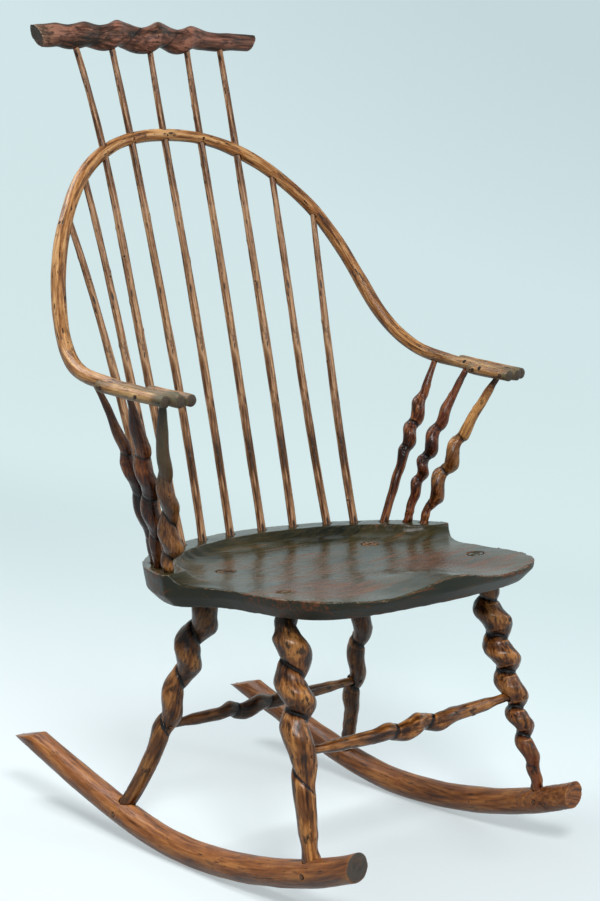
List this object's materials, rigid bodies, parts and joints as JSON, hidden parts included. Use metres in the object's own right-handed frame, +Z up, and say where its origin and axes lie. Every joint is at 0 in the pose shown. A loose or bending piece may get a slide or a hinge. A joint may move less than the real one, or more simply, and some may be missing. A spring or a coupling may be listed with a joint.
{
  "type": "rocking chair",
  "caption": "Rocking armchair with a bent hoop back, round spindles, a comb rail, twisted posts and legs, a carved plank seat and curved rockers.",
  "frame": {"origin": "on the floor under the middle of the chair's bounding box", "axes": "+Z up, the chair faces -Y, +X is the sitter's left"},
  "size_m": [0.6696, 0.7207, 1.119],
  "materials": {
    "seat_paint": "worn dark paint, semi-gloss",
    "bent_wood": "worn varnish",
    "dark_wood": "worn dark varnish",
    "mottled_wood": "mottled varnish",
    "spindle_wood": "worn varnish",
    "peg_wood": "worn varnish",
    "nail_iron": "rusted"
  },
  "bodies": {
    "root": {"seat": "seat_paint", "hoop": "bent_wood", "crest_rail": "dark_wood", "front_stretcher": "mottled_wood", "rear_stretcher": "mottled_wood", "hoop_pins": "peg_wood", "leg_wedges": "peg_wood", "rocker_pegs": "peg_wood", "stretcher_pins": "peg_wood", "hand_piece_nails": "nail_iron", "rocker_right": "bent_wood", "rocker_left": "bent_wood", "back_spindle_1": "spindle_wood", "back_spindle_2": "spindle_wood", "back_spindle_3": "spindle_wood", "back_spindle_4": "spindle_wood", "back_spindle_5": "spindle_wood", "back_spindle_6": "spindle_wood", "back_spindle_7": "spindle_wood", "back_spindle_8": "spindle_wood", "back_spindle_9": "spindle_wood", "arm_post_right_rear": "dark_wood", "arm_post_right_mid": "dark_wood", "arm_post_right_front": "dark_wood", "front_leg_right": "mottled_wood", "rear_leg_right": "mottled_wood", "hand_piece_right_outer": "bent_wood", "hand_piece_right_inner": "bent_wood", "arm_post_left_rear": "dark_wood", "arm_post_left_mid": "dark_wood", "arm_post_left_front": "dark_wood", "front_leg_left": "mottled_wood", "rear_leg_left": "mottled_wood", "hand_piece_left_outer": "bent_wood", "hand_piece_left_inner": "bent_wood"}
  },
  "joints": []
}
